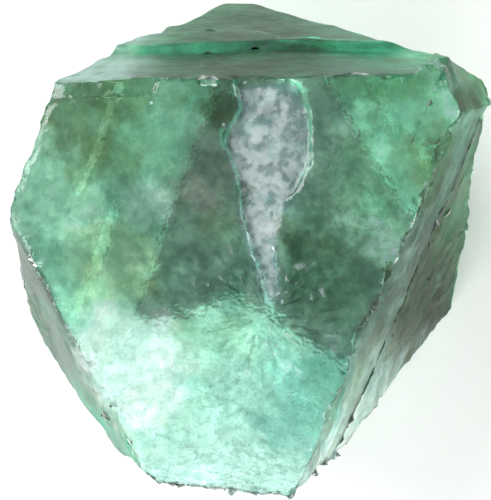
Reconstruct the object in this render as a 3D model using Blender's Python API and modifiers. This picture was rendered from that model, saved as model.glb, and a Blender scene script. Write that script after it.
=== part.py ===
"""A natural eight-faced crystal of green glassy mineral, one solid, lying on one of its faces.

Lengths are in metres, +Z is up, and the origin is under the middle of the crystal, on the surface it lies on.
The form is a cube cut by flat planes: eight crystal faces, then the planes where corners broke off.
Steps parallel to the crystal's own faces, flake scars, a long scar across the top and chipped edges are cut
out of that. The skin is then laid out in even points, warped and roughened, and the resting face is cut flat.
"""

import math
import random

import bmesh
import bpy
from mathutils import Matrix, Vector, noise

MM = 0.001

# Driving sizes.
HEIGHT = 39.4 * MM  # from the resting face to the face on top
SPARE = 1.5 * MM  # extra depth under the resting face, which is cut flat last of all
BLANK = 120 * MM  # side of the block that the crystal is cut from
SKIN_SPACING = 0.22 * MM  # between the points that the skin is roughened with, which also wears the edges
TRIANGLES = 9000  # what the finished solid keeps
SEED = 11

# Each crystal face: its polar angle from +Z and azimuth from +X in degrees, and its distance from the centre.
CRYSTAL_FACES = {
    "top": (0, 0, HEIGHT / 2),
    "rest": (180, 0, HEIGHT / 2 + SPARE),
    "far_upper": (66, 91, 21.1 * MM),
    "left_upper": (71, 208.5, 25.3 * MM),
    "right_upper": (71, 336, 17.4 * MM),
    "near_lower": (103.5, 264.5, 18.5 * MM),
    "right_lower": (107, 31, 20.8 * MM),
    "left_lower": (106, 160.5, 16.2 * MM),
}

# Planes where a corner or a length of edge broke off, in the same terms.
BROKEN_CORNERS = {
    "far_tip": (95, 91, 27.5 * MM),
    "far_right_rim": (83, 67, 22.7 * MM),
    "right_corner": (60, 25, 27.0 * MM),
    "left_low_corner": (97, 226, 22.4 * MM),
    "right_low_corner": (93, 309, 20.5 * MM),
}

# Steps, cut parallel to the crystal's own faces. Each takes away what lies within this many millimetres of
# all of its faces: the smallest number is the step's depth, the others are how far it reaches.
STEPS = {
    "far_edge_left": {"far_upper": 0.9, "left_lower": 29.0, "top": 9.0},
    "far_face_low": {"far_upper": 0.8, "left_lower": 22.0, "rest": 23.0},
    "far_face_right": {"far_upper": 0.6, "right_lower": 13.5, "rest": 31.0},
    "far_face_middle": {"far_upper": 0.45, "right_lower": 23.0, "rest": 27.5},
    "top_right_corner_step": {"top": 0.3, "right_upper": 3.0, "far_upper": 6.5},
    "top_far_left_step": {"top": 0.15, "far_upper": 2.4, "left_lower": 8.5},
    "right_face_band": {"right_upper": 0.6, "rest": 32.5, "near_lower": 50.0},
    "right_face_back": {"right_upper": 1.1, "rest": 27.5, "right_lower": 20.0},
    "right_face_low": {"right_upper": 1.6, "rest": 17.0, "near_lower": 20.0},
    "left_face_front": {"left_upper": 0.5, "rest": 29.0, "near_lower": 18.0},
    "right_low_strip": {"right_lower": 0.8, "rest": 11.0, "near_lower": 35.0},
    "right_low_corner_step": {"right_lower": 0.5, "far_upper": 14.0, "rest": 30.0},
    "left_low_strip": {"left_lower": 0.8, "left_upper": 16.0, "rest": 17.0},
    "left_low_far": {"left_lower": 0.6, "far_upper": 15.5, "rest": 27.0},
}

# The scar's outline on the top face, in millimetres: its steep wall, far to near, then the shallow side back.
SCAR_STEEP_SIDE = (
    (-3.4, 14.4), (-2.4, 10.9), (-4.1, 8.0), (-3.0, 4.8), (-2.5, 0.8), (-1.3, -3.2), (-0.3, -6.8),
)
SCAR_SHALLOW_SIDE = (
    (0.6, -5.6), (0.1, -1.0), (0.8, 2.2), (2.3, 2.9), (4.0, 6.2), (3.2, 11.6), (1.6, 14.4),
)
SCAR_DEEP = 0.8 * MM
SCAR_SHALLOW = 0.15 * MM

# The near face is broken in, low down, along two uneven planes that meet in a valley. The valley runs up from
# its foot to its head, and each plane spreads to a place beside its foot. All in millimetres.
VALLEY_FOOT = (-3.0, -5.7, 0)
VALLEY_HEAD = (-2.4, -21.8, 34.5)
VALLEY_SPREAD = ((9.4, -14.4, 0), (-13.5, -8.1, 0))
VALLEY_FINENESS = 5  # times that its planes are halved
VALLEY_RIPPLE = 0.8 * MM
VALLEY_RIPPLE_LENGTH = 8 * MM

# Curved scars of flakes struck off an edge: the two faces that meet there, how far along the edge (as a share
# from its lower or nearer end), the radius of the curve and how deep it bites, both in millimetres.
FLAKES = {
    "far_edge_flake": ("top", "far_upper", 0.42, 6.5, 0.55),
    "right_edge_high": ("top", "right_upper", 0.93, 5.0, 0.8),
    "right_edge_middle": ("top", "right_upper", 0.42, 8.0, 0.5),
    "right_side_flake": ("right_lower", "right_upper", 0.62, 6.0, 0.9),
    "right_corner_flake": ("right_lower", "right_upper", 0.14, 5.0, 0.6),
    "near_right_flake": ("near_lower", "right_upper", 0.42, 9.0, 1.3),
    "near_left_flake": ("near_lower", "left_upper", 0.45, 6.0, 0.8),
    "near_low_flake": ("near_lower", "left_low_corner", 0.6, 7.0, 1.0),
    "left_edge_flake": ("top", "left_lower", 0.5, 5.0, 0.5),
    "back_left_flake": ("far_upper", "left_lower", 0.45, 8.0, 1.0),
    "back_right_flake": ("right_lower", "far_right_rim", 0.35, 8.0, 1.0),
}
FLAKE_RIPPLE = 0.07  # how uneven a flake scar is, as a share of its radius
FLAKE_RIPPLES = 3  # how many ripples there are across a radius

# Chips along every edge above the resting face: how far apart, how wide, and how deep beside their width.
CHIP_SPACING = 2.8 * MM
CHIP_WIDTH = (0.4 * MM, 2.3 * MM)
CHIP_STRETCH = ((0.6, 1.3), (0.6, 1.0), (0.5, 0.8))  # along and across the edge, and into it
CHIP_BITE = (0.15, 0.5)
LOWEST_CHIP = 4 * MM  # the rim of the resting face stays whole

# The skin's unevenness: a slow warp of the whole form, then swells and grain as high as each face is rough.
WARP_HEIGHT = 0.35 * MM
WARP_LENGTH = 9 * MM
SWELL_LENGTH, SWELL_SHARE = 6 * MM, 0.7
GRAIN_LENGTH, GRAIN_SHARE = 2.4 * MM, 0.6
SKIN_ROUGHNESS = {
    "top": 0.05 * MM,
    "far_upper": 0.10 * MM,
    "left_upper": 0.12 * MM,
    "right_upper": 0.3 * MM,
    "near_lower": 0.10 * MM,
    "right_lower": 0.12 * MM,
    "left_lower": 0.12 * MM,
}
BROKEN_ROUGHNESS = 0.22 * MM
SAME_FACE = 9  # skin that looks within this many degrees of a face's own direction belongs to it


def clear_scene():
    for old in list(bpy.data.objects):
        bpy.data.objects.remove(old)


def direction(polar, azimuth):
    """The unit vector at these angles, in degrees."""
    tilt, turn = math.radians(polar), math.radians(azimuth)
    return Vector((math.sin(tilt) * math.cos(turn), math.sin(tilt) * math.sin(turn), math.cos(tilt)))


def centre():
    return Vector((0, 0, HEIGHT / 2))


def cut_flat(bm, out, distance):
    """Cuts away what lies beyond a plane this far from the crystal's centre, and closes the cut."""
    everything = bm.verts[:] + bm.edges[:] + bm.faces[:]
    cut = bmesh.ops.bisect_plane(
        bm, geom=everything, plane_co=centre() + out * distance, plane_no=out, clear_outer=True
    )
    rim = [item for item in cut["geom_cut"] if isinstance(item, bmesh.types.BMEdge)]
    if rim:
        bmesh.ops.contextual_create(bm, geom=rim)


def flat_form():
    """The crystal with flat faces, sharp edges and broken corners."""
    bm = bmesh.new()
    bmesh.ops.create_cube(bm, size=BLANK)
    for polar, azimuth, distance in [*CRYSTAL_FACES.values(), *BROKEN_CORNERS.values()]:
        cut_flat(bm, direction(polar, azimuth), distance)
    bmesh.ops.recalc_face_normals(bm, faces=bm.faces)
    bm.normal_update()
    return bm


def edges_above_rest(bm):
    return [edge for edge in bm.edges if max(vertex.co.z for vertex in edge.verts) > 0]


def nearest_plane(normal):
    """The name of the crystal face or break that looks this way."""
    planes = CRYSTAL_FACES | BROKEN_CORNERS
    return max(planes, key=lambda name: direction(*planes[name][:2]).dot(normal))


def edge_lines(bm):
    """Each edge above the resting face, by its two planes' names: its lower end, other end and way out."""
    lines = {}
    for edge in edges_above_rest(bm):
        planes = frozenset(nearest_plane(face.normal) for face in edge.link_faces)
        ends = sorted((vertex.co.copy() for vertex in edge.verts), key=lambda end: (round(end.z, 4), end.y))
        lines[planes] = (*ends, sum((face.normal for face in edge.link_faces), Vector()).normalized())
    return lines


def as_mesh(bm, name):
    mesh = bpy.data.meshes.new(name)
    bm.to_mesh(mesh)
    return mesh


def add_cutter(name, bm, collection):
    bmesh.ops.recalc_face_normals(bm, faces=bm.faces)
    cutter = bpy.data.objects.new(name, as_mesh(bm, name))
    bm.free()
    cutter.hide_render = True
    cutter.display_type = "WIRE"
    collection.objects.link(cutter)


def step_cutter(name, collection):
    """A block bounded by planes parallel to the crystal's faces, each this far in from its own face."""
    bm = bmesh.new()
    bmesh.ops.create_cube(bm, size=BLANK)
    for face, reach in STEPS[name].items():
        polar, azimuth, distance = CRYSTAL_FACES[face]
        cut_flat(bm, -direction(polar, azimuth), reach * MM - distance)
    add_cutter(name, bm, collection)


def scar_cutter(collection):
    """The long scar across the top: steep on one side, running out to nothing on the other."""
    rim = [(x, y, SCAR_DEEP) for x, y in SCAR_STEEP_SIDE]
    rim += [(x, y, SCAR_SHALLOW) for x, y in SCAR_SHALLOW_SIDE]
    clear_of_top = 5 * MM
    bm = bmesh.new()
    above = [bm.verts.new((x * MM, y * MM, HEIGHT + clear_of_top)) for x, y, _ in rim]
    below = [bm.verts.new((x * MM, y * MM, HEIGHT - depth)) for x, y, depth in rim]
    bm.faces.new(above)
    for here in range(len(rim)):
        after = (here + 1) % len(rim)
        bm.faces.new((above[here], below[here], below[after], above[after]))
    for here in range(len(SCAR_STEEP_SIDE) - 1):
        across = len(rim) - 1 - here
        bm.faces.new((below[here], below[across], below[across - 1], below[here + 1]))
    add_cutter("scar", bm, collection)


def valley_cutter(collection):
    """The part of a block that is outside both planes of the valley in the near face."""
    foot, head = Vector(VALLEY_FOOT) * MM, Vector(VALLEY_HEAD) * MM
    bm = bmesh.new()
    bmesh.ops.create_cube(bm, size=BLANK)
    for beside in VALLEY_SPREAD:
        out = (head - foot).cross(Vector(beside) * MM - foot).normalized()
        inward = out if out.y > 0 else -out
        cut_flat(bm, inward, inward.dot(foot - centre()))
    bmesh.ops.triangulate(bm, faces=bm.faces)
    for _ in range(VALLEY_FINENESS):
        bmesh.ops.subdivide_edges(bm, edges=bm.edges, cuts=1, use_grid_fill=True)
    for vertex in bm.verts:
        vertex.co += noise.noise_vector(vertex.co / VALLEY_RIPPLE_LENGTH) * VALLEY_RIPPLE
    add_cutter("valley", bm, collection)


def flake_cutter(name, lines, collection):
    """A rippled ball that bites a shallow scoop out of an edge."""
    one_face, other_face, share, radius, depth = FLAKES[name]
    start, end, outward = lines[frozenset((one_face, other_face))]
    place = start.lerp(end, share) + outward * (radius - depth) * MM
    bm = bmesh.new()
    bmesh.ops.create_icosphere(bm, subdivisions=3, radius=radius * MM)
    for vertex in bm.verts:
        ripple = noise.noise(vertex.co.normalized() * FLAKE_RIPPLES + place / MM)
        vertex.co = vertex.co * (1 + FLAKE_RIPPLE * ripple) + place
    add_cutter(name, bm, collection)


def chip_cutters(lines, collection):
    """Small angular bites along the edges, at seeded places."""
    draw = random.Random(SEED)
    for line, (start, end, outward) in enumerate(lines.values()):
        count = max(1, round((end - start).length / CHIP_SPACING))
        for number in range(count):
            share = (number + draw.uniform(0.1, 0.9)) / count
            width = draw.uniform(*CHIP_WIDTH)
            size = Vector([draw.uniform(*stretch) for stretch in CHIP_STRETCH]) * width
            bite = size.z * draw.uniform(*CHIP_BITE)
            turn = Matrix.Rotation(draw.uniform(0, math.pi), 4, outward)
            place = start.lerp(end, share) + outward * (size.z - bite)
            if place.z < LOWEST_CHIP:
                continue
            lean = outward.to_track_quat("Z", "Y").to_matrix().to_4x4()
            squash = Matrix.Diagonal((*size, 1))
            bm = bmesh.new()
            bmesh.ops.create_icosphere(bm, subdivisions=1, radius=1)
            bmesh.ops.transform(bm, matrix=Matrix.Translation(place) @ turn @ lean @ squash, verts=bm.verts)
            add_cutter(f"chip_{line}_{number}", bm, collection)


def taken_from(body):
    """The object's mesh as its modifiers leave it. The object itself is removed."""
    bpy.context.view_layer.update()
    graph = bpy.context.evaluated_depsgraph_get()
    mesh = bpy.data.meshes.new_from_object(body.evaluated_get(graph))
    bpy.data.objects.remove(body)
    return mesh


def carved(collection):
    """The block with every step, flake, chip and the scar cut out of it, and its skin in even points."""
    form = flat_form()
    lines = edge_lines(form)
    for name in STEPS:
        step_cutter(name, collection)
    for name in FLAKES:
        flake_cutter(name, lines, collection)
    scar_cutter(collection)
    valley_cutter(collection)
    chip_cutters(lines, collection)
    body = bpy.data.objects.new("carved_block", as_mesh(form, "carved_block"))
    form.free()
    bpy.context.scene.collection.objects.link(body)
    cut = body.modifiers.new("carve", "BOOLEAN")
    cut.operand_type = "COLLECTION"
    cut.collection = collection
    cut.solver = "EXACT"
    even = body.modifiers.new("even_skin", "REMESH")
    even.mode = "VOXEL"
    even.voxel_size = SKIN_SPACING
    return taken_from(body)


def skin_height(normal):
    """How rough the skin is where it looks this way: a crystal face's own roughness, or that of a break."""
    for name, height in SKIN_ROUGHNESS.items():
        polar, azimuth, _ = CRYSTAL_FACES[name]
        if normal.dot(direction(polar, azimuth)) > math.cos(math.radians(SAME_FACE)):
            return height
    return BROKEN_ROUGHNESS


def roughen(bm):
    """Warps the form a little, and moves its skin in and out in broad swells and a finer grain."""
    bm.normal_update()
    for vertex in bm.verts:
        height = skin_height(vertex.normal)
        warp = noise.noise_vector(vertex.co / WARP_LENGTH) * WARP_HEIGHT
        swell = noise.noise(vertex.co / SWELL_LENGTH)
        grain = noise.noise(vertex.co / GRAIN_LENGTH + Vector((7, 3, 5)))
        vertex.co += warp + vertex.normal * height * (SWELL_SHARE * swell + GRAIN_SHARE * grain)


def thinned(mesh):
    """The same skin with fewer triangles, which stay small where the form is fine."""
    body = bpy.data.objects.new("dense", mesh)
    bpy.context.scene.collection.objects.link(body)
    thin = body.modifiers.new("thin", "DECIMATE")
    thin.ratio = TRIANGLES / sum(len(face.vertices) - 2 for face in mesh.polygons)
    thin.use_collapse_triangulate = True
    return taken_from(body)


def rested(bm):
    """Cuts the resting face flat at Z 0 and moves the crystal so that its box is centred over the origin."""
    cut_flat(bm, Vector((0, 0, -1)), HEIGHT / 2)
    bmesh.ops.triangulate(bm, faces=bm.faces)
    corners = [vertex.co for vertex in bm.verts]
    middle = [(min(c[axis] for c in corners) + max(c[axis] for c in corners)) / 2 for axis in (0, 1)]
    bmesh.ops.translate(bm, verts=bm.verts, vec=(-middle[0], -middle[1], 0))


def glassy_green():
    material = bpy.data.materials.new("green_crystal")
    material.use_nodes = True
    shader = material.node_tree.nodes["Principled BSDF"]
    shader.inputs["Base Color"].default_value = (0.32, 0.62, 0.44, 1)
    shader.inputs["Roughness"].default_value = 0.2
    shader.inputs["Metallic"].default_value = 0
    shader.inputs["IOR"].default_value = 1.434
    shader.inputs["Transmission Weight"].default_value = 0.8
    return material


def reshaped(mesh, *steps):
    """The mesh after these changes, each a function that works on its faces."""
    bm = bmesh.new()
    bm.from_mesh(mesh)
    for step in steps:
        step(bm)
    bm.to_mesh(mesh)
    bm.free()
    return mesh


def main():
    noise.seed_set(SEED)
    clear_scene()
    cutters = bpy.data.collections.new("cutters")
    specimen = bpy.data.collections.new("crystal_specimen")
    bpy.context.scene.collection.children.link(cutters)
    bpy.context.scene.collection.children.link(specimen)

    rough = reshaped(carved(cutters), roughen)
    mesh = reshaped(thinned(rough), rested)
    mesh.name = "crystal"
    mesh.materials.clear()
    mesh.materials.append(glassy_green())
    specimen.objects.link(bpy.data.objects.new("crystal", mesh))


main()
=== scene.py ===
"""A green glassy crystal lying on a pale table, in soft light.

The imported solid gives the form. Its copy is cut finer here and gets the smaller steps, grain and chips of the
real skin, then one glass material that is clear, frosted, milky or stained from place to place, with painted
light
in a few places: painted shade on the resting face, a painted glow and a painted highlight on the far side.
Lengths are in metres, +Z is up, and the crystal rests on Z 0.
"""

import math

import bpy
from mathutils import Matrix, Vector
from mathutils.geometry import intersect_point_line

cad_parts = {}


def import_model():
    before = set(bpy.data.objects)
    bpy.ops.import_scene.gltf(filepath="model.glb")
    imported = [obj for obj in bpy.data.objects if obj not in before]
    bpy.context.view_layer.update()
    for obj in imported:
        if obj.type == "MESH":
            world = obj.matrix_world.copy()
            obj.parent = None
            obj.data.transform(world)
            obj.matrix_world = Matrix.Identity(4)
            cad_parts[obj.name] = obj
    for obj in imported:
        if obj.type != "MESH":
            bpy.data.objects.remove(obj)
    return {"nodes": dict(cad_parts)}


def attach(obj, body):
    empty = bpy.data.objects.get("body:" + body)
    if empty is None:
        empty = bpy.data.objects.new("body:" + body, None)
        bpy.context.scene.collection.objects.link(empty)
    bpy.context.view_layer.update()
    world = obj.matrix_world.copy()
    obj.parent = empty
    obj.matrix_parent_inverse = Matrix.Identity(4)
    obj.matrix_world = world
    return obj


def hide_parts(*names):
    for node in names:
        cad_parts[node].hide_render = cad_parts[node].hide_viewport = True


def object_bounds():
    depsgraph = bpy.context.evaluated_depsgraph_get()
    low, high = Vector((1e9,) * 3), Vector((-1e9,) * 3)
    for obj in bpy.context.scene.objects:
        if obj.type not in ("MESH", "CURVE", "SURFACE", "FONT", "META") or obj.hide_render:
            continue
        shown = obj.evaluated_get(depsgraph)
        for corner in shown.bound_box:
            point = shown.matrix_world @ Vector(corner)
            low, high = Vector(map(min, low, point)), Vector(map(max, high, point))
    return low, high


MM = 0.001

# The crystal's faces, as the direction each looks: polar angle from +Z and azimuth from +X, in degrees.
FACES = {
    "top": (0, 0),
    "rest": (180, 0),
    "far_upper": (66, 91),
    "left_upper": (71, 208.5),
    "right_upper": (71, 336),
    "near_lower": (103.5, 264.5),
    "right_lower": (107, 31),
    "left_lower": (106, 160.5),
}
FULLY_ON_FACE = 12  # skin within this many degrees of a face's direction has all of its finish
OFF_FACE = 24  # and beyond this many it has none

# How deep under a face's plane its finish is gone, and how deep it is still whole. First for skin that looks
# the face's way, then for the walls of its steps.
FACE_DEEP = (6.0 * MM, 4.0 * MM)
WALL_DEEP = (3.0 * MM, 1.5 * MM)

# The outline of the scar on the top face, in millimetres.
SCAR_OUTLINE = (
    (-2.9, 11.6), (-2.0, 9.3), (-3.6, 6.5), (-2.5, 3.3), (-2.0, -0.7), (-0.8, -4.7), (0.4, -8.2),
    (1.4, -7.8), (1.6, -4.6), (1.6, -1.4), (2.6, 1.0), (3.9, 2.8), (4.5, 6.0), (3.9, 9.6), (2.4, 11.4),
)
SCAR_FADE = (1.0 * MM, 4.8 * MM)  # the milk thins between these two X, toward the scar's right side
SCAR_EDGE = 1.4 * MM  # how far the scar's bruising fades at its outline
TOP_LEVEL = 37.5 * MM  # skin lower than this is never part of the scar or of the far edge

# How finely the skin is divided: edges longer than this are halved, this many times at most.
LONGEST_EDGE = 0.7 * MM
DIVISIONS = 5
MERGED_WITHIN = 0.001 * MM  # corners of the solid this near each other are one
SHARP_EDGE = math.radians(24)  # edges that turn more than this stay sharp

# The crystal's own edges.
EDGE_NEAR, EDGE_FAR = 0.5 * MM, 1.3 * MM  # skin this near two faces' planes is on an edge, this far is not
FAR_EDGE_FROM = 10.5 * MM  # beyond this Y, the top face's broken far edge is an edge too; its white is partly a painted highlight
FAR_EDGE_SLOPE = (0.5, 0.95)  # its skin looks upwards by more than the first and less than the second
CHIPS_ABOVE = 1.5 * MM  # edges lower than this are not chipped

# The heights between which the unevenness of the skin, and of the broken near side, goes from nothing to all.
SKIN_RISES = (0.0, 1 * MM)
NEAR_SIDE_RISES = (0.0, 2 * MM)
NEAR_SIDE_LOOKS = (0.45, 0.7)  # skin that looks toward -Y by this much begins to be, and is, the near side

# What the skin loses, never gains: the vertex group it acts in, how wide and how deep the unevenness is.
SKIN_LOSSES = {
    "grain": ("skin", 0.9 * MM, 0.05 * MM),
    "hackly_right": ("right_upper", 1.4 * MM, 0.45 * MM),
    "hackly_near": ("near_side", 2.6 * MM, 0.60 * MM),
    "scar_floor": ("scar", 1.1 * MM, 0.30 * MM),
    "edge_chips": ("edges", 1.3 * MM, 0.30 * MM),
}

# Parts of a face with a finish of their own: the face, the axis along which they begin (0 X, 1 Y, 2 Z), and
# the two places on it, in millimetres, between which they go from nothing to all.
ZONES = {
    "top_front": ("top", 1, -8, -14),
    "far_left_end": ("far_upper", 0, -8, -14),
    "far_middle": ("far_upper", 0, 9, 2),
    "right_back": ("right_upper", 1, -3, 4),
    "right_rim": ("right_upper", 2, 28, 33),
    "right_front": ("right_upper", 1, -9, -14),
    "left_front": ("left_upper", 1, -5, -11),
}

# Blows that bruised the crystal from outside: where, and how far the bruise reaches, in millimetres.
BLOWS = (
    ((-2.5, -8.5, 1.0), 6.0),
    ((-12.0, -9.0, 3.0), 5.0),
    ((8.5, -14.5, 2.0), 5.5),
    ((-13.0, 3.0, 8.0), 4.0),
    ((16.5, 14.5, 38.5), 3.5),
)
BLOW_CORE = 3  # a bruise is whole within its reach divided by this

# Round patches where the green goes over into another colour: the place and how far from it the patch
# reaches, in millimetres, and the colour.
PATCHES = {
    "olive_left": ((-16.0, 8.5, 39.4), 6.5, (0.20, 0.30, 0.17, 1)),
    "olive_by_scar": ((-3.4, 9.2, 39.4), 3.4, (0.16, 0.30, 0.16, 1)),
    "brown_middle": ((-5.3, 3.6, 39.4), 5.5, (0.40, 0.54, 0.44, 1)),
    "pale_left": ((-13.6, -4.5, 39.4), 6.5, (0.62, 0.82, 0.54, 1)),
    "pale_vein": ((-10.4, 0.8, 39.4), 3.5, (0.68, 0.88, 0.80, 1)),
    "dark_by_scar": ((5.6, -5.0, 39.4), 6.5, (0.18, 0.44, 0.28, 1)),
    "dark_below_middle": ((-6.4, -5.3, 39.4), 4.0, (0.24, 0.46, 0.34, 1)),
    "green_left": ((-9.8, 5.6, 39.4), 4.5, (0.52, 0.94, 0.68, 1)),
    "brown_right": ((15.8, 4.6, 39.4), 5.5, (0.24, 0.34, 0.20, 1)),
    "clear_near": ((-11.7, -13.5, 39.4), 8.0, (0.88, 0.96, 0.92, 1)),
    "dim_near": ((4.5, -17.4, 39.4), 8.0, (0.14, 0.40, 0.32, 1)),
    "green_below": ((14.0, 5.0, 0.0), 9.0, (0.20, 0.62, 0.36, 1)),
}
PATCH_CORE = 4  # a patch is whole within its reach divided by this

# How rough each face and zone is to light, from polished to ground.
FROST = {
    "top": 0.14,
    "rest": 0.16,
    "far_upper": 0.34,
    "left_upper": 0.25,
    "right_upper": 0.60,
    "near_lower": 1.0,
    "right_lower": 0.40,
    "left_lower": 0.50,
    "near_side": 1.0,
    "top_front": 0.14,
    "far_left_end": 0.40,
    "far_middle": 0.50,
    "right_back": 0.42,
    "right_rim": 0.70,
    "right_front": 0.60,
    "left_front": 0.30,
}
BREAK_FROST = 0.42  # the skin of breaks and steps

# The colour that the skin of each face and zone gives to what passes through it.
TINTS = {
    "top": (0.40, 0.72, 0.54, 1),
    # The resting face's near-black tint is painted shade: it darkens what is seen through it, standing for the
    # shade on the table under the crystal.
    "rest": (0.02, 0.10, 0.055, 1),
    "far_upper": (0.06, 0.42, 0.24, 1),
    "left_upper": (0.03, 0.16, 0.09, 1),
    "right_upper": (0.07, 0.14, 0.07, 1),
    "near_lower": (0.95, 1.00, 1.00, 1),
    "right_lower": (0.17, 0.60, 0.30, 1),
    "left_lower": (0.50, 0.84, 0.62, 1),
    "near_side": (0.95, 1.00, 1.00, 1),
    "top_front": (0.40, 0.72, 0.62, 1),
    "far_left_end": (0.90, 1.00, 0.92, 1),
    "far_middle": (0.08, 0.26, 0.13, 1),
    "right_back": (0.08, 0.32, 0.15, 1),
    "right_rim": (0.36, 0.48, 0.43, 1),
    "right_front": (0.82, 0.94, 0.90, 1),
    "left_front": (0.01, 0.22, 0.12, 1),
}
BREAK_TINT = (0.33, 0.62, 0.46, 1)

# What a tint is multiplied by in brownish, darker and the darkest patches.
OLIVE = (0.62, 0.58, 0.34, 1)
SHADE = (0.42, 0.55, 0.52, 1)
DEEP = (0.14, 0.26, 0.22, 1)

# What a tint goes over into where it is milky (where the milk also stands for a painted glow and highlight), in
# the scar, and in the right face's streaks.
MILK_AND_PAINTED_LIGHT = (0.76, 0.93, 1.0, 1)
BRUISE = (0.30, 0.52, 0.60, 1)
STAIN = (0.12, 0.10, 0.05, 1)
MILK_FROST = 0.72

# Milk is also a matt coat over the glass.
COAT_FROST = 0.6
COAT_IOR = 2.2

GRAIN_DEPTH = 0.02 * MM  # the finest roughness of the whole skin
BROKEN_DEPTH = 3.6 * MM  # the facets of the broken near side
CLEARNESS = 0.80  # how much of the light that enters the glass goes on through it
GLASS_IOR = 1.434
GLASS_GREEN = (0.42, 0.82, 0.72, 1)
GLASS_DEPTH = 30.0  # absorption per metre

# Where the rays of the break at the scar's foot spread from, and how far they reach.
BREAK_HEART = (0.2 * MM, -9.2 * MM, 39.4 * MM)
BREAK_REACH = 9 * MM
DARK_REACH = BREAK_REACH * 1.2  # the dark rays reach farther than the white ones
RAY_LENGTH = 1.6 * MM  # how far the unevenness along a ray reaches
RAYS_WHOLE = 0.3  # the share of their reach up to which rays are whole
FINER_LAYERS = 3  # in wisps and rays
CLOUDS_ROUGH = 0.62  # how much of each finer layer there is in clouds
SMALLEST_DOT = 0.4  # the smallest dot's reach, as a share of the size given

# The patterns of the materials: an effect, and its values in this pattern. Scale is how fine it is, per
# metre, Detail how many finer layers lie over it, and Low and High where its mask begins and is whole.
PATTERNS = {
    "blotches": ("clouds", {"Scale": 400, "Detail": 4, "Low": 0.36, "High": 0.62}),
    "scar_veins": ("wisps", {"Scale": 420, "Low": 0.9, "High": 1.9}),
    "scar_holes": ("clouds", {"Scale": 900, "Detail": 3, "Low": 0.40, "High": 0.58}),
    "shards": ("clouds", {"Scale": 900, "Detail": 3, "Low": 0.54, "High": 0.62}),
    "chipped": ("clouds", {"Scale": 1700, "Detail": 2, "Low": 0.50, "High": 0.72}),
    "white_rays": ("hackles", {"Heart": BREAK_HEART, "Reach": BREAK_REACH, "Rays": 6, "Low": 0.50,
                               "High": 0.66}),
    "veils": ("wisps", {"Scale": 130, "Low": 1.15, "High": 2.3}),
    "threads": ("wisps", {"Scale": 330, "Low": 1.25, "High": 2.2}),
    "dots": ("specks", {"Scale": 500, "Size": 0.09, "Share": 0.14}),
    "shaded": ("clouds", {"Scale": 85, "Detail": 3, "Low": 0.42, "High": 0.62}),
    "olive": ("clouds", {"Scale": 120, "Detail": 3, "Low": 0.50, "High": 0.66}),
    "pale": ("clouds", {"Scale": 210, "Detail": 4, "Low": 0.48, "High": 0.70}),
    "mottled": ("clouds", {"Scale": 420, "Detail": 4, "Low": 0.44, "High": 0.62}),
    "speckled": ("clouds", {"Scale": 1100, "Detail": 2, "Low": 0.42, "High": 0.60}),
    "cracks": ("wisps", {"Scale": 210, "Low": 1.2, "High": 2.1}),
    "level_lines": ("clouds", {"Scale": 1000, "Detail": 3, "Low": 0.42, "High": 0.60}),
    "steep_streaks": ("clouds", {"Scale": 330, "Detail": 5, "Low": 0.44, "High": 0.62}),
    "dark_rays": ("hackles", {"Heart": BREAK_HEART, "Reach": DARK_REACH, "Rays": 8, "Low": 0.54,
                              "High": 0.62}),
    "grain": ("clouds", {"Scale": 1600, "Detail": 1, "Low": 0.2, "High": 0.8}),
    "facets": ("clouds", {"Scale": 360, "Detail": 3, "Low": 0.15, "High": 0.85}),
    "board": ("clouds", {"Scale": 6, "Detail": 3, "Low": 0.3, "High": 0.7}),
}

# How patterns that run one way are turned, in degrees, and stretched.
RUNS = {
    "shards": ((0, 0, 38), (1, 2.2, 1)),
    "threads": ((0, 0, 25), (1, 1.8, 1)),
    "olive": ((40, 20, 0), (1, 1, 1)),
    "pale": ((0, 50, 30), (1, 1, 1)),
    "mottled": ((0, 0, 20), (1, 1.6, 1)),
    "cracks": ((60, 0, 70), (1, 2, 1)),
    "level_lines": ((0, 3, 0), (7, 7, 1)),
    "steep_streaks": ((30, 0, -34), (1, 1.8, 1)),
    "facets": ((20, 30, 10), (1, 1.6, 0.8)),
}

# How strongly each pattern, or what it makes, acts.
STRENGTH = {
    "torn_scar": 0.45,
    "frayed_patch": 0.5,
    "scar_bruise": 0.7,
    "blows": 0.7,
    "edges": 0.75,
    "white_rays": 0.6,
    "veils": 0.5,
    "shaded": 0.60,
    "olive": 0.7,
    "mottled": 0.65,
    "speckled": 0.50,
    "cracks": 0.8,
    "level_lines": 0.7,
    "steep_streaks": 0.5,
    "dark_rays": 0.6,
}
TORN_SCAR = (0.60, 1.55)  # the scar's weight, torn by the blotches, where it begins to be and is all milky
HOLES_LEAVE = (0.30, 0.90)  # how milky the scar is in its holes and between them
SCAR_SIDES = (1.0, 0.25)  # how milky the scar is at its left and at its right side
PAINTED_GLOW_END = (0.3, 0.7)  # painted glow: how milky the far face's left end is made, between the blotches and in them, to stand for the light in it
VEILS_ON_DARK = 0.25  # how much of the veils is left on the three dark upper faces
FRAYED_PATCH = (0.25, 1.25)  # a patch's weight, frayed by the blotches, where it begins and is whole
PATCH_BEGINS = (0.0, 0.3)  # a patch's own weight where its blotches begin and are whole
CALM_FRONT = 0.65  # how much calmer the green is on the near side and the top face's front

# The table, and the light that comes from all around.
BOARD_GREY, BOARD_PALE = (0.62, 0.62, 0.61, 1), (0.66, 0.66, 0.65, 1)
BOARD_FROST = 0.85
BOARD_SIZE = 3  # metres
BOARD_CUTS = 8
BOARD_TOP = -0.1 * MM  # just under the crystal, so the two never share a plane
ROOM_LIGHT = 0.62

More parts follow.
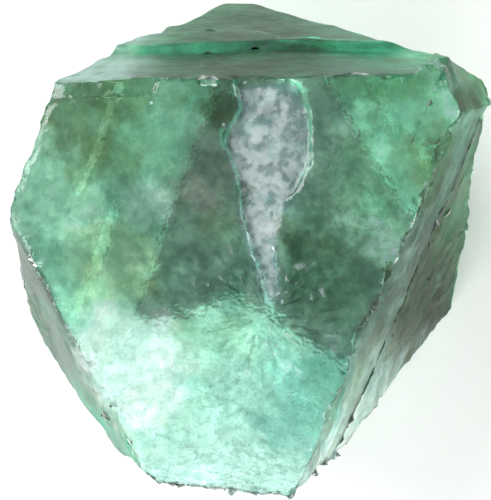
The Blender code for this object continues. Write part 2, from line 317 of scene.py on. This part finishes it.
# The soft panels of light: the place, the width and height in metres, and the power in watts.
LAMPS = {
    "window": ((-0.45, 0.30, 0.60), 0.45, 0.45, 6.5),
    "far_fill": ((0.50, 0.55, 0.35), 0.40, 0.30, 2.0),
    "low_strip": ((-0.16, -0.50, 0.13), 0.50, 0.16, 8.4),
}
LAMPS_AIM = Vector((0, 0, 0.02))  # the middle of the crystal

# The view: the lens and the film in millimetres, the place in metres.
LENS = 98.5
FILM = 36.0
CAMERA_PLACE = Vector((-1.5, -8.7, 160.4)) * MM
CAMERA_LOOK = Vector((0, 0.044, -0.999))


def direction(polar, azimuth):
    """The unit vector at these angles, in degrees."""
    tilt, turn = math.radians(polar), math.radians(azimuth)
    return Vector((math.sin(tilt) * math.cos(turn), math.sin(tilt) * math.sin(turn), math.cos(tilt)))


def share(value, nothing, everything):
    """0 at one value and 1 at the other, eased between them."""
    step = min(1.0, max(0.0, (value - nothing) / (everything - nothing)))
    return step * step * (3 - 2 * step)


# ---------------------------------------------------------------- the crystal's form


def only(piece):
    """Makes one piece the active and only selected one."""
    bpy.ops.object.select_all(action="DESELECT")
    piece.select_set(True)
    bpy.context.view_layer.objects.active = piece


def crystal_copy(node):
    """A copy of the solid's skin, merged, to be worked finer."""
    piece = bpy.data.objects.new("crystal_skin", node.data.copy())
    bpy.context.scene.collection.objects.link(piece)
    only(piece)
    bpy.ops.object.mode_set(mode="EDIT")
    bpy.ops.mesh.select_all(action="SELECT")
    bpy.ops.mesh.remove_doubles(threshold=MERGED_WITHIN)
    bpy.ops.mesh.select_all(action="DESELECT")
    bpy.ops.object.mode_set(mode="OBJECT")
    return piece


def select_edges(piece, wanted):
    """Selects the edges that a test on their two ends picks, and says how many there are."""
    mesh = piece.data
    count = 0
    for part in (mesh.vertices, mesh.edges, mesh.polygons):
        part.foreach_set("select", [False] * len(part))
    for edge in mesh.edges:
        if wanted(*(mesh.vertices[end].co for end in edge.vertices)):
            edge.select = True
            count += 1
    return count


def cut_finer(piece):
    """Divides the long edges, again and again, down to what the skin's own detail needs."""
    for _ in range(DIVISIONS):
        if not select_edges(piece, lambda start, end: (start - end).length > LONGEST_EDGE):
            break
        bpy.ops.object.mode_set(mode="EDIT")
        bpy.ops.mesh.select_mode(type="EDGE")
        bpy.ops.mesh.subdivide(number_cuts=1)
        bpy.ops.mesh.quads_convert_to_tris()
        bpy.ops.object.mode_set(mode="OBJECT")


def paint_weights(piece, name, weights):
    """A new vertex group with these weights."""
    group = piece.vertex_groups.new(name=name)
    for number, weight in enumerate(weights):
        if weight > 0:
            group.add([number], weight, "REPLACE")


def looks_toward(normal, out):
    """How much skin with this normal belongs to the face that looks outwards this way."""
    return share(normal.dot(out), math.cos(math.radians(OFF_FACE)), math.cos(math.radians(FULLY_ON_FACE)))


def depths_under(piece, out):
    """How deep each corner lies under the plane of the face that looks outwards this way."""
    heights = [vertex.co.dot(out) for vertex in piece.data.vertices]
    plane = max(heights)
    return [plane - height for height in heights]


def mark_faces(piece):
    """One vertex group for each face of the crystal. Skin that looks the face's way is in it, and so are the
    small walls of the steps that lie close under its plane and look no face's way."""
    looking = {}
    under = {}
    for name, angles in FACES.items():
        out = direction(*angles)
        under[name] = depths_under(piece, out)
        turned_to = (looks_toward(vertex.normal, out) for vertex in piece.data.vertices)
        looking[name] = [toward * share(depth, *FACE_DEEP) for toward, depth in zip(turned_to, under[name])]
    walls = [1 - max(shares) for shares in zip(*looking.values())]
    for name in FACES:
        close = [share(depth, *WALL_DEEP) for depth in under[name]]
        paint_weights(piece, name, [max(a, b * c) for a, b, c in zip(looking[name], walls, close)])


def inside(point, outline):
    """True where the point is inside the outline."""
    crossings = False
    for here, (x, y) in enumerate(outline):
        before_x, before_y = outline[here - 1]
        if (y > point.y) != (before_y > point.y):
            crossings ^= point.x < (before_x - x) * (point.y - y) / (before_y - y) + x
    return crossings


def depth_in(point, outline):
    """How deep the point is inside the outline. Outside, it is less than 0."""
    away = []
    for here, corner in enumerate(outline):
        start, end = Vector(outline[here - 1]), Vector(corner)
        foot, along = intersect_point_line(point, start, end)
        away.append((point - (start if along < 0 else end if along > 1 else foot.to_2d())).length)
    return min(away) if inside(point, outline) else -min(away)


def mark_scar(piece):
    """The scar, by its outline on the top face, with a soft edge."""
    outline = [(x * MM, y * MM) for x, y in SCAR_OUTLINE]
    weights = []
    for vertex in piece.data.vertices:
        if vertex.co.z < TOP_LEVEL:
            weights.append(0)
            continue
        depth = depth_in(vertex.co.to_2d(), outline)
        weights.append(share(depth, -SCAR_EDGE / 2, SCAR_EDGE / 2))
    paint_weights(piece, "scar", weights)


def mark_zones(piece):
    """The parts of faces that have a finish of their own."""
    for name, (face, axis, nothing, everything) in ZONES.items():
        out = direction(*FACES[face])
        weights = []
        for vertex in piece.data.vertices:
            along = share(vertex.co[axis] / MM, nothing, everything)
            weights.append(along and along * looks_toward(vertex.normal, out))
        paint_weights(piece, name, weights)


def round_weight(vertex, place, reach, core):
    """How much a vertex is in a round area with this place and reach, both in millimetres."""
    return share((vertex.co / MM - Vector(place)).length, reach, reach / core)


def mark_patches(piece):
    """The patches of another colour."""
    for name, (place, reach, _) in PATCHES.items():
        weights = [round_weight(vertex, place, reach, PATCH_CORE) for vertex in piece.data.vertices]
        paint_weights(piece, name, weights)


def mark_bruises(piece):
    """The skin around the blows."""
    weights = []
    for vertex in piece.data.vertices:
        weights.append(max(round_weight(vertex, place, reach, BLOW_CORE) for place, reach in BLOWS))
    paint_weights(piece, "bruised", weights)


def on_far_edge(vertex):
    """True on the broken far edge of the top face."""
    beyond = vertex.co.y > FAR_EDGE_FROM and vertex.co.z > TOP_LEVEL
    return beyond and FAR_EDGE_SLOPE[0] < vertex.normal.z < FAR_EDGE_SLOPE[1]


def mark_edges(piece):
    """The crystal's own edges, where two of its faces meet. They are chipped and bruised, and on the far edge
    their white is partly a painted highlight, the bright line along it.
    """
    closeness = []
    for angles in FACES.values():
        depths = depths_under(piece, direction(*angles))
        closeness.append([share(depth, EDGE_FAR, EDGE_NEAR) for depth in depths])
    weights = []
    for vertex, shares in zip(piece.data.vertices, zip(*closeness)):
        near = 1.0 if on_far_edge(vertex) else sorted(shares)[-2]
        weights.append(near if vertex.co.z > CHIPS_ABOVE else 0)
    paint_weights(piece, "edges", weights)


def mark_sides(piece):
    """All the skin but the resting face, and the broken ground of the near side."""
    skin, near_side = [], []
    for vertex in piece.data.vertices:
        skin.append(share(vertex.co.z, *SKIN_RISES))
        near_side.append(share(-vertex.normal.y, *NEAR_SIDE_LOOKS) * share(vertex.co.z, *NEAR_SIDE_RISES))
    paint_weights(piece, "skin", skin)
    paint_weights(piece, "near_side", near_side)


def keep_within(piece, box):
    """Trims what the uneven skin pushed past the solid's own box."""
    low, high = box
    for vertex in piece.data.vertices:
        vertex.co = [min(max(value, least), most) for value, least, most in zip(vertex.co, low, high)]


def weather(piece):
    """Takes the grain, the hackly ground and the chips off the skin, along its own normals. Where it
    overhangs, that can reach past the solid's box, which keep_within trims."""
    only(piece)
    for name, (group, width, depth) in SKIN_LOSSES.items():
        clouding = bpy.data.textures.new(name, "CLOUDS")
        clouding.noise_scale = width
        loss = piece.modifiers.new(name, "DISPLACE")
        loss.texture = clouding
        loss.texture_coords = "LOCAL"
        loss.vertex_group = group
        loss.mid_level = 1
        loss.strength = depth
        bpy.ops.object.modifier_apply(modifier=name)


# ---------------------------------------------------------------- materials


def node(tree, kind, **settings):
    """A new node of this kind, with these settings."""
    made = tree.nodes.new(kind)
    for key, value in settings.items():
        setattr(made, key, value)
    return made


def feed(tree, target, value):
    """Links a socket to another, or sets it to a constant."""
    if isinstance(value, bpy.types.NodeSocket):
        tree.links.new(value, target)
    else:
        target.default_value = value


def calculate(tree, operation, first, second):
    """One sum with two values."""
    made = node(tree, "ShaderNodeMath", operation=operation)
    feed(tree, made.inputs[0], first)
    feed(tree, made.inputs[1], second)
    return made.outputs[0]


def times(tree, first, second):
    """One value or mask weakened by another."""
    return calculate(tree, "MULTIPLY", first, second)


def strongest(tree, *masks):
    """The strongest of several masks."""
    found = masks[0]
    for mask in masks[1:]:
        found = calculate(tree, "MAXIMUM", found, mask)
    return found


def mixed(tree, factor, first, second, **settings):
    """One colour going over into another."""
    made = node(tree, "ShaderNodeMix", data_type="RGBA", **settings)
    feed(tree, made.inputs["Factor"], factor)
    feed(tree, made.inputs[6], first)
    feed(tree, made.inputs[7], second)
    return made.outputs[2]


def multiplied(tree, factor, colour, other):
    """A colour darkened by another."""
    return mixed(tree, factor, colour, other, blend_type="MULTIPLY")


def brightened(tree, factor, colour):
    """A colour made up to twice as bright."""
    return mixed(tree, factor, colour, colour, blend_type="ADD", clamp_result=True)


def blended(tree, factor, first, second):
    """One value going over into another."""
    made = node(tree, "ShaderNodeMix", data_type="FLOAT")
    feed(tree, made.inputs["Factor"], factor)
    feed(tree, made.inputs[2], first)
    feed(tree, made.inputs[3], second)
    return made.outputs[0]


def ramped(tree, value, low, high):
    """0 where a value is low and 1 where it is high, eased between."""
    made = node(tree, "ShaderNodeMapRange", interpolation_type="SMOOTHSTEP")
    feed(tree, made.inputs["Value"], value)
    feed(tree, made.inputs["From Min"], low)
    feed(tree, made.inputs["From Max"], high)
    return made.outputs["Result"]


def effect(name, inputs):
    """An empty node group with a mask output, and these named inputs: a vector where the default is None."""
    tree = bpy.data.node_groups.new(name, "ShaderNodeTree")
    for label, default in inputs.items():
        kind = "NodeSocketVector" if default is None else "NodeSocketFloat"
        socket = tree.interface.new_socket(name=label, in_out="INPUT", socket_type=kind)
        if default is not None:
            socket.default_value = default
    tree.interface.new_socket(name="Mask", in_out="OUTPUT", socket_type="NodeSocketFloat")
    entry = node(tree, "NodeGroupInput")
    leave = node(tree, "NodeGroupOutput")
    return tree, entry.outputs, leave.inputs["Mask"]


def clouds():
    """Soft patches, as in milky or unevenly coloured crystal."""
    tree, given, mask = effect("clouds", {"Place": None, "Scale": 200, "Detail": 4, "Low": 0.45, "High": 0.6})
    made = node(tree, "ShaderNodeTexNoise")
    for label, target in (("Place", "Vector"), ("Scale", "Scale"), ("Detail", "Detail")):
        feed(tree, made.inputs[target], given[label])
    feed(tree, made.inputs["Roughness"], CLOUDS_ROUGH)
    feed(tree, mask, ramped(tree, made.outputs["Fac"], given["Low"], given["High"]))
    return tree


def wisps():
    """Torn veils and threads, thickest where they cross."""
    tree, given, mask = effect("wisps", {"Place": None, "Scale": 150, "Low": 1.2, "High": 2.0})
    made = node(tree, "ShaderNodeTexNoise", noise_type="RIDGED_MULTIFRACTAL")
    feed(tree, made.inputs["Vector"], given["Place"])
    feed(tree, made.inputs["Scale"], given["Scale"])
    feed(tree, made.inputs["Detail"], FINER_LAYERS)
    feed(tree, mask, ramped(tree, made.outputs["Fac"], given["Low"], given["High"]))
    return tree


def reckoned(tree, operation, first, second=None):
    """One sum with vectors, as a node whose outputs can be read."""
    made = node(tree, "ShaderNodeVectorMath", operation=operation)
    feed(tree, made.inputs[0], first)
    if second is not None:
        feed(tree, made.inputs["Scale" if operation == "SCALE" else 1], second)
    return made


def hackles():
    """Fine rays that spread out in a level plane from the heart of a break, and fade with distance."""
    inputs = {"Place": None, "Heart": None, "Reach": 0.006, "Rays": 9, "Low": 0.5, "High": 0.6}
    tree, given, mask = effect("hackles", inputs)
    away = reckoned(tree, "SUBTRACT", given["Place"], given["Heart"])
    level = reckoned(tree, "MULTIPLY", away.outputs[0], (1, 1, 0)).outputs[0]
    distance = reckoned(tree, "LENGTH", level).outputs["Value"]
    way = reckoned(tree, "NORMALIZE", level)
    around = reckoned(tree, "SCALE", way.outputs[0], given["Rays"])
    outward = node(tree, "ShaderNodeCombineXYZ")
    feed(tree, outward.inputs["Z"], calculate(tree, "DIVIDE", distance, RAY_LENGTH))
    spread = reckoned(tree, "ADD", around.outputs[0], outward.outputs[0])
    ray = node(tree, "ShaderNodeTexNoise")
    feed(tree, ray.inputs["Vector"], spread.outputs[0])
    feed(tree, ray.inputs["Scale"], 1)
    feed(tree, ray.inputs["Detail"], FINER_LAYERS)
    near = ramped(tree, calculate(tree, "DIVIDE", distance, given["Reach"]), 1.0, RAYS_WHOLE)
    feed(tree, mask, times(tree, near, ramped(tree, ray.outputs["Fac"], given["Low"], given["High"])))
    return tree


def specks():
    """Scattered dots of different sizes."""
    tree, given, mask = effect("specks", {"Place": None, "Scale": 400, "Size": 0.12, "Share": 0.2})
    cell = node(tree, "ShaderNodeTexVoronoi")
    feed(tree, cell.inputs["Vector"], given["Place"])
    feed(tree, cell.inputs["Scale"], given["Scale"])
    split = node(tree, "ShaderNodeSeparateColor")
    feed(tree, split.inputs[0], cell.outputs["Color"])
    chosen = calculate(tree, "LESS_THAN", split.outputs[0], given["Share"])
    reach = times(tree, given["Size"], calculate(tree, "ADD", split.outputs[1], SMALLEST_DOT))
    dot = calculate(tree, "SUBTRACT", 1.0, ramped(tree, cell.outputs["Distance"], 0.0, reach))
    feed(tree, mask, times(tree, chosen, dot))
    return tree


def turned(tree, place, angles, stretch):
    """The place turned, in degrees, and stretched, for a pattern that runs one way."""
    made = node(tree, "ShaderNodeMapping", vector_type="TEXTURE")
    feed(tree, made.inputs["Vector"], place)
    feed(tree, made.inputs["Rotation"], [math.radians(angle) for angle in angles])
    feed(tree, made.inputs["Scale"], stretch)
    return made.outputs[0]


def pattern(tree, place, effects, name):
    """Puts one of the patterns into a material and returns its mask."""
    kind, values = PATTERNS[name]
    if name in RUNS:
        place = turned(tree, place, *RUNS[name])
    made = node(tree, "ShaderNodeGroup", node_tree=effects[kind])
    feed(tree, made.inputs["Place"], place)
    for label, value in values.items():
        feed(tree, made.inputs[label], value)
    return made.outputs["Mask"]


def painted(tree, name):
    """How much of a vertex group there is."""
    return node(tree, "ShaderNodeAttribute", attribute_name=name).outputs["Fac"]


def milky_scar(tree, place, effects, blotches):
    """The scar's milk: torn at its border, with holes, veined, and thinner toward its right side."""
    torn = calculate(tree, "ADD", painted(tree, "scar"), times(tree, blotches, STRENGTH["torn_scar"]))
    veins = pattern(tree, place, effects, "scar_veins")
    milk = times(tree, painted(tree, "scar"), ramped(tree, torn, *TORN_SCAR))
    milk = times(tree, milk, blended(tree, pattern(tree, place, effects, "scar_holes"), *HOLES_LEAVE))
    milk = strongest(tree, milk, times(tree, painted(tree, "scar"), veins))
    along = node(tree, "ShaderNodeSeparateXYZ")
    feed(tree, along.inputs[0], place)
    return times(tree, milk, blended(tree, ramped(tree, along.outputs["X"], *SCAR_FADE), *SCAR_SIDES))


def milk_and_painted_light_places(tree, place, effects, blotches):
    """Where the skin is white: bruised at the scar, blows, edges and break, with veils, threads and specks all
    over, and painted light: a painted glow on the far face's left end and a painted highlight on the far edge.
    """
    scar = milky_scar(tree, place, effects, blotches)
    shards = pattern(tree, place, effects, "shards")
    blows = times(tree, painted(tree, "bruised"), times(tree, shards, STRENGTH["blows"]))
    chipped = pattern(tree, place, effects, "chipped")
    # The edges' white: chipped, bruised edges, and on the far edge partly a painted highlight along its bright
    # line.
    edges = times(tree, times(tree, painted(tree, "edges"), chipped), STRENGTH["edges"])
    rays = pattern(tree, place, effects, "white_rays")
    rays = times(tree, rays, times(tree, painted(tree, "top"), shards))
    rays = times(tree, rays, STRENGTH["white_rays"])
    # A painted glow: milk on the far face's left end that stands for the light shining in it.
    painted_glow_end = times(tree, painted(tree, "far_left_end"), blended(tree, blotches, *PAINTED_GLOW_END))
    veils = pattern(tree, place, effects, "veils")
    threads = times(tree, pattern(tree, place, effects, "threads"), blotches)
    dots = pattern(tree, place, effects, "dots")
    dark = strongest(tree, *(painted(tree, name) for name in ("right_upper", "far_upper", "left_upper")))
    clear = calculate(tree, "MAXIMUM", calculate(tree, "SUBTRACT", 1.0, dark), VEILS_ON_DARK)
    veils = times(tree, strongest(tree, veils, threads), clear)
    return strongest(tree, scar, blows, edges, rays, painted_glow_end, times(tree, veils, STRENGTH["veils"]), dots)


def uneven_green(tree, place, effects, colour):
    """Darker, browner and paler green in a colour, from large patches to fine specks, and dark cracks."""
    front = strongest(tree, painted(tree, "near_side"), painted(tree, "top_front"))
    uneven = calculate(tree, "SUBTRACT", 1.0, times(tree, front, CALM_FRONT))
    for name, darker in (("shaded", SHADE), ("olive", OLIVE)):
        here = times(tree, pattern(tree, place, effects, name), uneven)
        colour = multiplied(tree, times(tree, here, STRENGTH[name]), colour, darker)
    colour = brightened(tree, pattern(tree, place, effects, "pale"), colour)
    mottled = times(tree, pattern(tree, place, effects, "mottled"), uneven)
    colour = multiplied(tree, times(tree, mottled, STRENGTH["mottled"]), colour, SHADE)
    for name, darker in (("speckled", SHADE), ("cracks", DEEP)):
        here = pattern(tree, place, effects, name)
        colour = multiplied(tree, times(tree, here, STRENGTH[name]), colour, darker)
    return colour


def streaked(tree, place, effects, colour):
    """The far face's level lines, the right face's steep brown streaks, and dark rays around the break."""
    on_far = times(tree, pattern(tree, place, effects, "level_lines"), painted(tree, "far_upper"))
    colour = multiplied(tree, times(tree, on_far, STRENGTH["level_lines"]), colour, SHADE)
    on_right = times(tree, pattern(tree, place, effects, "steep_streaks"), painted(tree, "right_upper"))
    colour = mixed(tree, times(tree, on_right, STRENGTH["steep_streaks"]), colour, STAIN)
    rays = times(tree, pattern(tree, place, effects, "dark_rays"), painted(tree, "top"))
    return multiplied(tree, times(tree, rays, STRENGTH["dark_rays"]), colour, DEEP)


def finish_of_faces(tree):
    """The tint and the frost of the skin, from face to face and zone to zone."""
    colour, frost = BREAK_TINT, BREAK_FROST
    for name in FROST:
        here = painted(tree, name)
        colour = mixed(tree, here, colour, TINTS[name])
        frost = blended(tree, here, frost, FROST[name])
    return colour, frost


def patched(tree, blotches, colour):
    """The round patches, frayed, and the bruise under the scar, over a colour."""
    for name, (_, _, tint) in PATCHES.items():
        spread = calculate(tree, "ADD", painted(tree, name), times(tree, blotches, STRENGTH["frayed_patch"]))
        spread = ramped(tree, spread, *FRAYED_PATCH)
        here = times(tree, spread, ramped(tree, painted(tree, name), *PATCH_BEGINS))
        colour = mixed(tree, here, colour, tint)
    return mixed(tree, times(tree, painted(tree, "scar"), STRENGTH["scar_bruise"]), colour, BRUISE)


def uneven_normal(tree, place, effects):
    """The fine grain of the whole skin and the facets of the broken near side, as a normal."""
    grain = pattern(tree, place, effects, "grain")
    broken = times(tree, pattern(tree, place, effects, "facets"), painted(tree, "near_side"))
    bump = node(tree, "ShaderNodeBump")
    feed(tree, bump.inputs["Strength"], 1.0)
    feed(tree, bump.inputs["Distance"], BROKEN_DEPTH)
    grain = times(tree, grain, GRAIN_DEPTH / BROKEN_DEPTH)
    feed(tree, bump.inputs["Height"], calculate(tree, "ADD", broken, grain))
    return bump.outputs["Normal"]


def new_material(name):
    """A new material, its node tree and its shader, and the place on the piece."""
    material = bpy.data.materials.new(name)
    material.use_nodes = True
    tree = material.node_tree
    return material, tree, tree.nodes["Principled BSDF"], node(tree, "ShaderNodeTexCoord").outputs["Object"]


def glassy_green(effects):
    """The crystal: green glass, frosted, tinted, milky or stained from face to face, with painted shade, a
    painted glow and a painted highlight in places.
    """
    material, tree, shader, place = new_material("green_crystal")
    colour, frost = finish_of_faces(tree)
    blotches = pattern(tree, place, effects, "blotches")
    colour = patched(tree, blotches, colour)
    colour = uneven_green(tree, place, effects, colour)
    colour = streaked(tree, place, effects, colour)
    milk_and_painted_light = milk_and_painted_light_places(tree, place, effects, blotches)

    feed(tree, shader.inputs["Base Color"], mixed(tree, milk_and_painted_light, colour, MILK_AND_PAINTED_LIGHT))
    feed(tree, shader.inputs["Roughness"], blended(tree, milk_and_painted_light, frost, MILK_FROST))
    feed(tree, shader.inputs["Normal"], uneven_normal(tree, place, effects))
    feed(tree, shader.inputs["Coat Weight"], milk_and_painted_light)
    shader.inputs["Coat Roughness"].default_value = COAT_FROST
    shader.inputs["Coat IOR"].default_value = COAT_IOR
    shader.inputs["IOR"].default_value = GLASS_IOR
    shader.inputs["Transmission Weight"].default_value = CLEARNESS
    depth = node(tree, "ShaderNodeVolumeAbsorption")
    depth.inputs["Color"].default_value = GLASS_GREEN
    depth.inputs["Density"].default_value = GLASS_DEPTH
    feed(tree, tree.nodes["Material Output"].inputs["Volume"], depth.outputs["Volume"])
    return material


def pale_board(effects):
    """The table: matt and nearly white, with the faintest unevenness."""
    material, tree, shader, place = new_material("pale_board")
    uneven = pattern(tree, place, effects, "board")
    feed(tree, shader.inputs["Base Color"], mixed(tree, uneven, BOARD_GREY, BOARD_PALE))
    shader.inputs["Roughness"].default_value = BOARD_FROST
    return material


# ---------------------------------------------------------------- table, light and view


def table(effects):
    """The table that the crystal lies on."""
    bpy.ops.object.select_all(action="DESELECT")
    bpy.ops.mesh.primitive_grid_add(x_subdivisions=BOARD_CUTS, y_subdivisions=BOARD_CUTS, size=BOARD_SIZE,
                                    location=(0, 0, BOARD_TOP))
    board = bpy.context.object
    board.name = "table"
    bpy.ops.object.transform_apply(location=True)
    board.data.materials.append(pale_board(effects))


def soft_light(name, place, width, height, power):
    """A soft panel of light, out of the camera's sight."""
    lamp = bpy.data.lights.new(name, "AREA")
    lamp.shape = "RECTANGLE"
    lamp.size = width
    lamp.size_y = height
    lamp.energy = power
    stand = bpy.data.objects.new(name, lamp)
    stand.location = place
    stand.rotation_euler = (LAMPS_AIM - Vector(place)).to_track_quat("-Z", "Y").to_euler()
    stand.visible_camera = False
    bpy.context.scene.collection.objects.link(stand)


def studio():
    """Soft light from above and behind, and a low strip in front that shines in through the near face."""
    for name, (place, width, height, power) in LAMPS.items():
        soft_light(name, place, width, height, power)
    world = bpy.data.worlds.new("room")
    bpy.context.scene.world = world
    world.use_nodes = True
    sky = world.node_tree.nodes["Background"]
    sky.inputs["Color"].default_value = (1, 1, 1, 1)
    sky.inputs["Strength"].default_value = ROOM_LIGHT
    bpy.context.scene.view_settings.view_transform = "Standard"


def view():
    """The camera, nearly straight above."""
    lens = bpy.data.cameras.new("view")
    lens.lens = LENS
    lens.sensor_width = FILM
    lens.clip_start = 1 * MM
    camera = bpy.data.objects.new("view", lens)
    camera.location = CAMERA_PLACE
    camera.rotation_euler = CAMERA_LOOK.to_track_quat("-Z", "Y").to_euler()
    bpy.context.scene.collection.objects.link(camera)
    bpy.context.scene.camera = camera


def main():
    """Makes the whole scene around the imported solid."""
    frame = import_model()
    solid_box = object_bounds()
    effects = {"clouds": clouds(), "wisps": wisps(), "hackles": hackles(), "specks": specks()}

    crystal = crystal_copy(frame["nodes"]["crystal"])
    cut_finer(crystal)
    mark_faces(crystal)
    mark_scar(crystal)
    mark_edges(crystal)
    mark_sides(crystal)
    mark_zones(crystal)
    mark_bruises(crystal)
    mark_patches(crystal)
    weather(crystal)
    keep_within(crystal, solid_box)
    crystal.data.materials.clear()
    crystal.data.materials.append(glassy_green(effects))
    only(crystal)
    bpy.ops.object.shade_smooth_by_angle(angle=SHARP_EDGE)
    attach(crystal, "root")
    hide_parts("crystal")

    table(effects)
    studio()
    view()


main()
